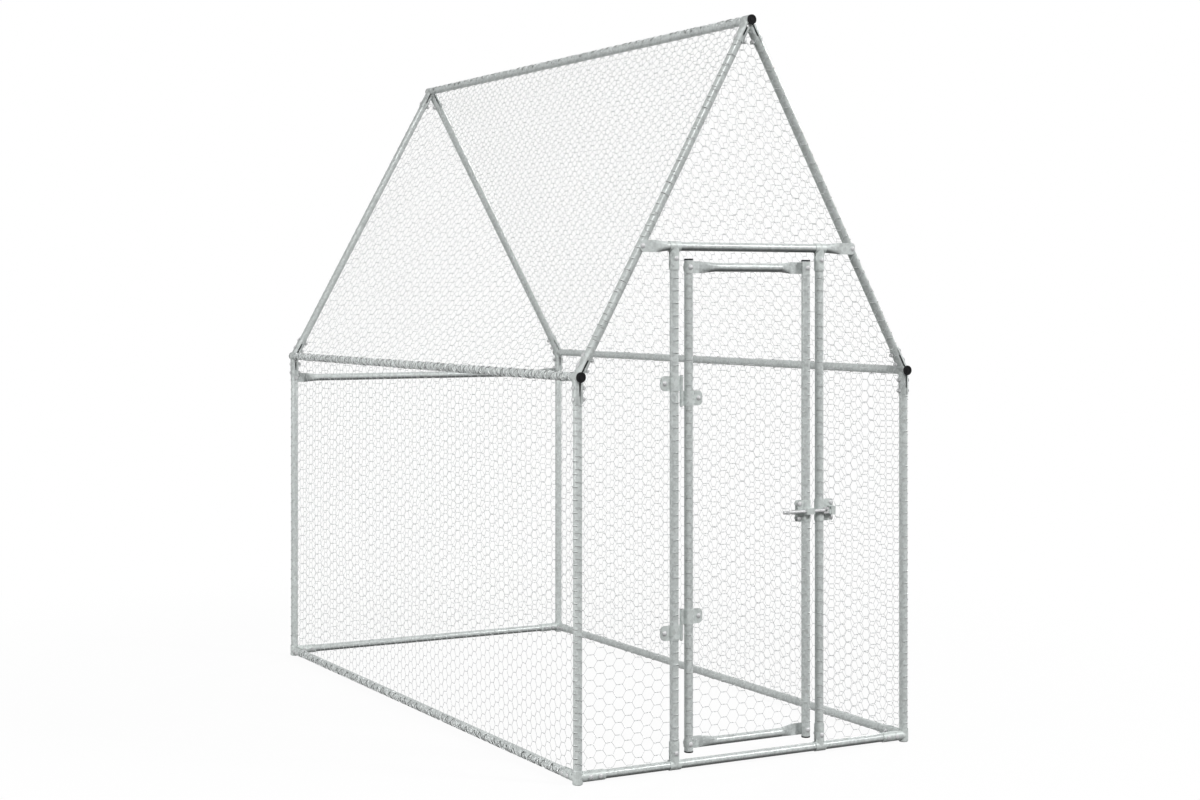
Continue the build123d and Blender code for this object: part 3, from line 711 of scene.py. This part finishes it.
def stray(panel, flat, netting):
    """Gentle unevenness of the weave that dies out at the panel's edges."""
    depth = np.clip(panel.depths(flat[:, :2]).min(axis=1) / STRAY_MARGIN, 0.0, 1.0)
    reach = depth * netting.wave
    x, y = flat[:, 0], flat[:, 1]
    phase = panel.origin.sum()
    flat = flat.copy()
    wide, small = STRAY_ACROSS
    flat[:, 0] += reach * (ripple(wide, x, y, phase) + SMALL_RIPPLE * ripple(small, x, y))
    wide, small = STRAY_UP
    flat[:, 1] += reach * (ripple(wide, x, y, 2 * phase) + SMALL_RIPPLE * ripple(small, x, y))
    first, second = STRAY_OUT
    flat[:, 2] += reach * BULGE * ripple(first, x, y, phase) * ripple(second, x, y)
    return flat


def crossing(panel, inside, outside):
    """Last point that shows between a point that shows and one that doesn't."""
    shown, hidden = inside, outside
    for _ in range(HALVINGS):
        half = (shown + hidden) / 2
        if panel.open_at(half[None, :2])[0]:
            shown = half
        else:
            hidden = half
    return shown


def shown_runs(panel, path):
    """Stretches of a path that show, cut at the outline and the fittings."""
    change = np.diff(panel.open_at(path[:, :2]).astype(int), prepend=0, append=0)
    for start, stop in zip(np.flatnonzero(change > 0), np.flatnonzero(change < 0)):
        run = list(path[start:stop])
        if start > 0:
            run.insert(0, crossing(panel, path[start], path[start - 1]))
        if stop < len(path):
            run.append(crossing(panel, path[stop - 1], path[stop]))
        run = np.array(run)
        steps = np.linalg.norm(np.diff(run, axis=0), axis=1)
        run = run[np.concatenate([[True], steps > LEAST_STEP])]
        if len(run) >= LEAST_POINTS:
            yield run


def panel_runs(panel, netting):
    """Runs of every wire of a panel, and the two strands of the wraps at every other one's ends,
    one in painted highlight and one in painted shade.
    """
    runs = []
    strand = netting.wrap_wire / 4
    for line, path in enumerate(weave(panel, netting)):
        for run in shown_runs(panel, stray(panel, path, netting)):
            runs.append((panel.solid(run), netting.wire / 2, WIRE))
            for tip in (run[0], run[-1]) if line % 2 else ():
                # Each wrap pairs a strand of painted highlight with a strand of painted shade
                for shift, shade in ((strand, HIGHLIGHT_STRAND), (-strand, SHADOW_STRAND)):
                    hook = panel.hook(tip, netting.wrap, shift)
                    if hook is not None:
                        runs.append((hook, strand, shade))
    return runs


def room(node):
    """Room of a fitting in an upright front panel, from its box."""
    low, high = corner_low(node), corner_high(node)
    x, _, z = (low + high) / 2
    width, _, height = high - low
    return (x, z, width, height, 0.0)


def gable_rooms(side):
    """Straps that an upright gable panel ends at on one side: post, rafter and ridge legs."""
    angle = SLOPE_ANGLE if side < 0 else math.pi - SLOPE_ANGLE
    along = np.array([math.cos(angle), math.sin(angle)])
    foot = np.array([side * POST_X, EAVE_Z]) + along * EAVE_LEG / 2
    head = np.array([0.0, RIDGE_Z]) - along * EAVE_LEG / 2
    return [
        (side * POST_X, EAVE_Z - EAVE_LEG / 2, STRAP_WIDTH, EAVE_LEG, 0.0),
        (*foot, EAVE_LEG, STRAP_WIDTH, angle),
        (*head, EAVE_LEG, STRAP_WIDTH, angle),
    ]


def rafter_x(height):
    """Distance of the rafter axes from the middle plane at a height."""
    return POST_X * (RIDGE_Z - height) / (RIDGE_Z - EAVE_Z)


def wall_panels():
    """The two long walls and the two roof slopes."""
    wall = [(-POST_Y, RAIL_Z), (POST_Y, RAIL_Z), (POST_Y, EAVE_Z), (-POST_Y, EAVE_Z)]
    roof = [(-POST_Y, 0.0), (POST_Y, 0.0), (POST_Y, SLOPE_LENGTH), (-POST_Y, SLOPE_LENGTH)]
    wall_rooms = []
    roof_rooms = []
    for end in (-1, 1):
        wall_rooms.append((end * POST_Y, EAVE_Z - EAVE_LEG / 2, STRAP_WIDTH, EAVE_LEG, 0.0))
        wall_rooms.append((end * (POST_Y - BASE_LEG / 2), RAIL_Z, BASE_LEG, STRAP_WIDTH, 0.0))
        wall_rooms.append((end * POST_Y, RAIL_Z, STRAP_WIDTH, BASE_BAND, 0.0))
        for along in (EAVE_LEG / 2, SLOPE_LENGTH - EAVE_LEG / 2):
            roof_rooms.append((end * POST_Y, along, STRAP_WIDTH, EAVE_LEG, 0.0))
    panels = []
    for side, name in ((-1, "left"), (1, "right")):
        across, up = (0, side, 0), (0, 0, 1)
        out = np.array([side, 0.0, 0.0])
        origin = out * (POST_X + NET_OUT)
        node = f"{name}_wall_net"
        panels.append(NetPanel(node, "frame", origin, across, up, out, wall, wall_rooms))
        up = np.array([-side * SLOPE[0], 0.0, SLOPE[2]]) / SLOPE_LENGTH
        out = np.array([side * SLOPE[2], 0.0, SLOPE[0]]) / SLOPE_LENGTH
        origin = np.array([side * POST_X, 0.0, EAVE_Z]) + NET_OUT * out
        node = f"{name}_roof_net"
        panels.append(NetPanel(node, "frame", origin, across, up, out, roof, roof_rooms))
    return panels


def end_panels():
    """The two front panels beside the door, the front gable, the door and the rear."""
    foot = corner_low("front_left_net")[2]
    gable_foot = corner_low("front_gable_net")[2]
    head = 2 * HEADER_Z - gable_foot
    gable_x, head_x = rafter_x(gable_foot), rafter_x(head)
    left = [(-POST_X, foot), (-JAMB_X, foot), (-JAMB_X, head), (-head_x, head), (-POST_X, EAVE_Z)]
    right = [(-x, z) for x, z in left[::-1]]
    gable = [(-gable_x, gable_foot), (gable_x, gable_foot), (0.0, RIDGE_Z)]
    low, high = corner_low("door_net")[2], corner_high("door_net")[2]
    door = [(-STILE_X, low), (STILE_X, low), (STILE_X, high), (-STILE_X, high)]
    rear = [(-POST_X, foot), (POST_X, foot), (POST_X, EAVE_Z), (0.0, RIDGE_Z), (-POST_X, EAVE_Z)]

    jamb_rooms = [room(f"{place}_hinge_jamb_leaf") for place in ("upper", "lower")]
    jamb_rooms.append(room("latch_keep"))
    for side in (-1, 1):
        for height in (RAIL_Z + JAMB_LEG / 2, HEADER_Z - JAMB_LEG / 2):
            jamb_rooms.append((side * JAMB_X, height, STRAP_WIDTH, JAMB_LEG, 0.0))
    door_rooms = [room(f"{place}_hinge_stile_leaf") for place in ("upper", "lower")]
    door_rooms.append(room("latch_clamp"))
    roof_rooms = gable_rooms(-1) + gable_rooms(1)
    _, rail_z, _, rail_height, _ = room("rear_cross_rail")
    rail_rooms = [
        (side * (POST_X - REAR_FLAT_IN), rail_z, REAR_FLAT_LENGTH, rail_height, 0.0)
        for side in (-1, 1)
    ]

    front = ((0.0, -POST_Y - NET_OUT, 0.0), (1, 0, 0), (0, 0, 1), (0, -1, 0))
    back = ((0.0, POST_Y + NET_OUT, 0.0), (-1, 0, 0), (0, 0, 1), (0, 1, 0))
    return [
        NetPanel("front_left_net", "frame", *front, left, jamb_rooms + gable_rooms(-1)),
        NetPanel("front_right_net", "frame", *front, right, jamb_rooms + gable_rooms(1)),
        NetPanel("front_gable_net", "frame", *front, gable, roof_rooms),
        NetPanel("door_net", "door", *front, door, door_rooms),
        NetPanel("rear_net", "frame", *back, rear, roof_rooms + rail_rooms),
    ]


def lacing_run(rail, facing, first_side, netting, chance):
    """One strand that zigzags along the outer side of a rail."""
    reach = POST_Y - (BASE_LEG if rail.endswith("bottom_rail") else LACE_END)
    knots = 2 * round(2 * reach / netting.lace_pitch) + 1
    count = np.arange(knots)
    fine = np.linspace(0, knots - 1, LACE_STEPS * (knots - 1) + 1)
    along = np.linspace(-reach, reach, knots)
    along[1:-1] += netting.lace_pitch / 2 * netting.lace_stray * chance.uniform(-1, 1, knots - 2)
    swing = netting.lace_swing * chance.uniform(1 - netting.lace_stray, 1, knots)
    turns = np.where((count + first_side) % 2, swing, -swing)
    angle = facing + np.interp(fine, count, turns)
    x, _, z = middle(rail)
    places = [
        x + NET_OUT * np.sin(angle),
        np.interp(fine, count, along),
        z + NET_OUT * np.cos(angle),
    ]
    return np.stack(places, axis=1)


class RUN_OT_tubes(bpy.types.Operator):
    """Gives the tubes their galvanised finish, with painted shade: a darker copy of the zinc on the
    rafters and darker downward faces on the cross tubes
    """

    bl_idname = "poultry_run.tubes"
    bl_label = "Tubes"

    def execute(self, context):
        finish = context.scene.run_finish
        dress(TUBES, galvanised("zinc on tube", finish.tube, **TUBE_ZINC))
        # The rafters take a darker copy of the tube zinc: painted shade
        dress(RAFTERS, galvanised("zinc on rafter", finish.rafter, **TUBE_ZINC))
        # The cross tubes get painted shade on their downward faces
        zinc = galvanised(
            "zinc on cross tube", finish.tube, **TUBE_ZINC, painted_underside_shade=finish.painted_underside_shade
        )
        dress(CROSS_TUBES, zinc)
        return {"FINISHED"}


class RUN_OT_fittings(bpy.types.Operator):
    """Gives the brackets, clamps, hinge leaves and keep their finish, with the rafter zinc's
    painted shade on the straps at the rafters
    """

    bl_idname = "poultry_run.fittings"
    bl_label = "Fittings"

    def execute(self, context):
        finish = context.scene.run_finish
        dress(FITTINGS, galvanised("zinc on pressed strap", finish.fitting, **STRAP_ZINC))
        # The straps at the rafters take the same painted shade
        dress(ROOF_STRAPS, galvanised("zinc on roof strap", finish.rafter, **STRAP_ZINC))
        return {"FINISHED"}


class RUN_OT_hardware(bpy.types.Operator):
    """Gives the bolts, nuts, hinge pins and slide bolt their plating"""

    bl_idname = "poultry_run.hardware"
    bl_label = "Bolts and pins"

    def execute(self, context):
        dress(HARDWARE, galvanised("bolt plating", context.scene.run_finish.bolt, **BOLT_ZINC))
        return {"FINISHED"}


class RUN_OT_caps(bpy.types.Operator):
    """Gives the end caps their moulded plastic"""

    bl_idname = "poultry_run.caps"
    bl_label = "End caps"

    def execute(self, context):
        dress(CAPS, moulded("cap plastic", context.scene.run_finish.cap))
        return {"FINISHED"}


class RUN_OT_netting(bpy.types.Operator):
    """Weaves every netting panel in place of its plain sheet"""

    bl_idname = "poultry_run.netting"
    bl_label = "Netting"

    def execute(self, context):
        netting = context.scene.run_netting
        zincs = wire_zincs(context.scene.run_finish)
        for panel in wall_panels() + end_panels():
            name = panel.node.replace("_net", "_netting")
            piece = wires(name, panel_runs(panel, netting), panel.upright, zincs)
            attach(piece, panel.body)
            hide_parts(panel.node)
        return {"FINISHED"}


class RUN_OT_lacing(bpy.types.Operator):
    """Laces the netting to the outer side of the long rails"""

    bl_idname = "poultry_run.lacing"
    bl_label = "Lacing"

    def execute(self, context):
        netting = context.scene.run_netting
        zincs = wire_zincs(context.scene.run_finish)
        chance = np.random.default_rng(LACE_SEED)
        for rail, facing in LACED.items():
            runs = []
            # The lacing's strands are in painted highlight and painted shade
            for first_side, shade in LACE_STRANDS:
                run = lacing_run(rail, facing, first_side, netting, chance)
                runs.append((run, netting.lace_wire / 2, shade))
            piece = wires(f"{rail}_lacing", runs, np.array([0.0, 1.0, 0.0]), zincs)
            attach(piece, "frame")
        return {"FINISHED"}


class RUN_OT_stage(bpy.types.Operator):
    """Sets the floor, the light and the camera"""

    bl_idname = "poultry_run.stage"
    bl_label = "Stage"

    def execute(self, context):
        stage = context.scene.run_stage
        self.floor(context, stage)
        self.world(context, stage)
        for name, (place, target, size) in LAMPS.items():
            self.lamp(context, f"{name} lamp", place, target, size, getattr(stage, name))
        self.camera(context, stage)
        context.scene.view_settings.view_transform = "Standard"
        return {"FINISHED"}

    def floor(self, context, stage):
        """Pale round floor that fades into the white background."""
        turn = np.linspace(0.0, 2 * math.pi, FLOOR_SIDES, endpoint=False)
        radius = stage.floor_radius
        points = [(radius * math.cos(a), radius * math.sin(a), 0.0) for a in turn]
        mesh = bpy.data.meshes.new("floor")
        mesh.from_pydata(points, [], [list(range(FLOOR_SIDES))])
        ground = bpy.data.objects.new("floor", mesh)
        context.scene.collection.objects.link(ground)
        finish = Finish(bpy.data.materials.new("floor"))
        sockets = {0: finish.place()}
        away = finish.node("ShaderNodeVectorMath", {"operation": "LENGTH"}, sockets)
        sockets = {
            "Value": away.outputs["Value"],
            "From Min": FADE_START,
            "From Max": FADE_END,
            "To Min": FADE_LEAST,
            "To Max": 1.0,
        }
        fade = finish.node("ShaderNodeMapRange", {"interpolation_type": "SMOOTHSTEP"}, sockets)
        seen = finish.seen()
        white_share = finish.amount(fade.outputs["Result"]) * seen
        shade = stage.floor * seen + stage.bounce * (1.0 - seen)
        matt = finish.node("ShaderNodeBsdfDiffuse", None, {"Color": shade}).outputs[0]
        sockets = {"Color": WHITE, "Strength": 1.0}
        white = finish.node("ShaderNodeEmission", None, sockets).outputs[0]
        mixed = finish.node("ShaderNodeMixShader", None, {0: white_share, 1: matt, 2: white})
        mesh.materials.append(finish.surface(mixed.outputs[0]))
        ground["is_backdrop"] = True

    def world(self, context, stage):
        """White to the camera and in reflections, softer as light."""
        world = bpy.data.worlds.new("studio")
        context.scene.world = world
        finish = Finish(world)
        level = stage.ambient + (1.0 - stage.ambient) * finish.seen()
        light = finish.node("ShaderNodeBackground", None, {"Color": WHITE, "Strength": level})
        finish.node("ShaderNodeOutputWorld", None, {"Surface": light.outputs[0]})

    def lamp(self, context, name, place, target, size, power):
        """Square soft lamp that points at a target."""
        light = bpy.data.lights.new(name, "AREA")
        light.size = size
        light.energy = power
        lamp = bpy.data.objects.new(name, light)
        lamp.location = place
        lamp.rotation_euler = (Vector(target) - Vector(place)).to_track_quat("-Z", "Y").to_euler()
        context.scene.collection.objects.link(lamp)

    def camera(self, context, stage):
        """Level camera at the photograph's viewing angle."""
        camera = bpy.data.cameras.new("camera")
        camera.lens = stage.lens
        camera.sensor_width = SENSOR_WIDTH
        camera.shift_y = stage.shift
        camera.clip_end = CLIP_END
        viewer = bpy.data.objects.new("camera", camera)
        viewer.location = stage.camera
        viewer.rotation_euler = (math.pi / 2, 0.0, -stage.heading)
        context.scene.collection.objects.link(viewer)
        context.scene.camera = viewer


OPERATORS = (
    RUN_OT_tubes,
    RUN_OT_fittings,
    RUN_OT_hardware,
    RUN_OT_caps,
    RUN_OT_netting,
    RUN_OT_lacing,
    RUN_OT_stage,
)
GROUPS = {"run_netting": RunNetting, "run_finish": RunFinish, "run_stage": RunStage}


class RUN_PT_sidebar(bpy.types.Panel):
    """Lists the pieces of the poultry run and their sizes and colours"""

    bl_idname = "RUN_PT_sidebar"
    bl_label = "Poultry run"
    bl_space_type = "VIEW_3D"
    bl_region_type = "UI"
    bl_category = "Poultry run"

    def draw(self, context):
        for operator in OPERATORS:
            self.layout.operator(operator.bl_idname)
        for group, kind in GROUPS.items():
            settings = getattr(context.scene, group)
            for name in kind.__annotations__:
                self.layout.prop(settings, name)


def register():
    for kind in (*GROUPS.values(), *OPERATORS, RUN_PT_sidebar):
        bpy.utils.register_class(kind)
    for name, kind in GROUPS.items():
        setattr(bpy.types.Scene, name, bpy.props.PointerProperty(type=kind))


def unregister():
    for name in GROUPS:
        delattr(bpy.types.Scene, name)
    for kind in (RUN_PT_sidebar, *OPERATORS[::-1], *GROUPS.values()):
        bpy.utils.unregister_class(kind)


def main():
    register()
    run = bpy.ops.poultry_run
    run.tubes()
    run.fittings()
    run.hardware()
    run.caps()
    run.netting()
    run.lacing()
    run.stage()
    boxes = {"cad": cad_bounds, "visual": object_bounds()}
    {name: [list(low), list(high)] for name, (low, high) in boxes.items()}


if __name__ == "__main__":
    main()
